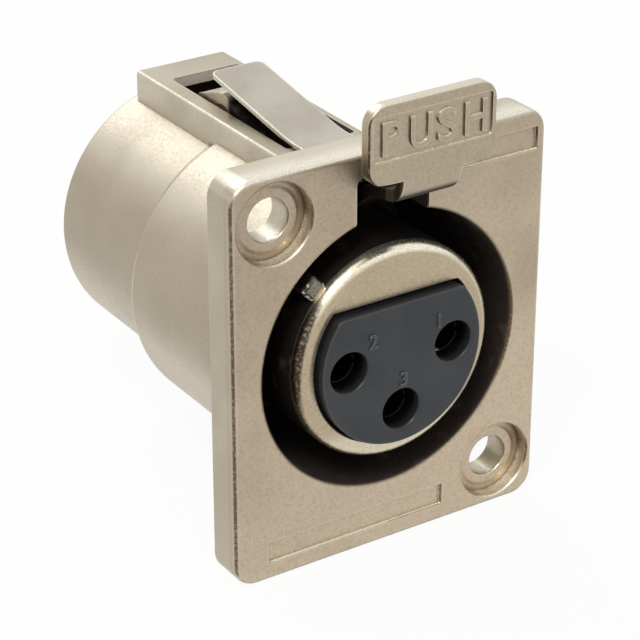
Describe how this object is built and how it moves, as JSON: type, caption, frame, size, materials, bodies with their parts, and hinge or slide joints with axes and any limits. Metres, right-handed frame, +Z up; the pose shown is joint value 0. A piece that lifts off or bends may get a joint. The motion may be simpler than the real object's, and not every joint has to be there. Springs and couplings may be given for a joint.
{
  "type": "xlr panel socket",
  "caption": "Rectangular-flange panel socket: deep cast drum, D-shaped insert with numbered contact entries, and a sprung push-tab latch.",
  "frame": {"origin": "on the socket's axis, in the plane of the flange's rear face, which lies on the panel", "axes": "+X right seen from the front, +Y along the socket's axis into the equipment, +Z up towards the latch tab"},
  "size_m": [0.026, 0.0357, 0.0362],
  "materials": {
    "nickel_casting": "satin nickel plating on a die casting, finely grained",
    "nickel_sleeve": "satin nickel plating, bright on the rim and rough on the outer wall",
    "insert_moulding": "dark slate grey moulding with a soft sheen",
    "rear_moulding": "black moulding",
    "contact_plating": "silver plating on turned brass",
    "terminal_plating": "tin plating on stamped brass",
    "spring_steel": "plated spring steel, fine rolled grain",
    "nickel_sheet": "satin nickel plating on pressed steel sheet"
  },
  "bodies": {
    "socket": {"shell": "nickel_casting", "front_sleeve": "nickel_sleeve", "insert_front": "insert_moulding", "insert_rear": "rear_moulding", "contact_1": "contact_plating", "contact_2": "contact_plating", "contact_3": "contact_plating", "ground_terminal": "terminal_plating", "retaining_ring": "spring_steel", "latch_pivot_pin": "spring_steel"},
    "latch": {"latch_lever": "nickel_sheet"},
    "spring": {"leaf_spring": "spring_steel"}
  },
  "joints": [
    {"name": "latch_press", "type": "hinge", "parent": "socket", "child": "latch", "pos_m": [0, 0.0018, 0.011], "axis": [1, 0, 0], "range_deg": [0, 8], "stiffness_Nm_per_rad": 0.02, "springref_deg": -8.59},
    {"name": "spring_lift", "type": "hinge", "parent": "socket", "child": "spring", "pos_m": [0, 0.0005, 0.0127], "axis": [1, 0, 0], "range_deg": [0, 8]}
  ],
  "couplings": [
    {"joint": "spring_lift", "follows": "latch_press", "ratio": 0.95}
  ]
}
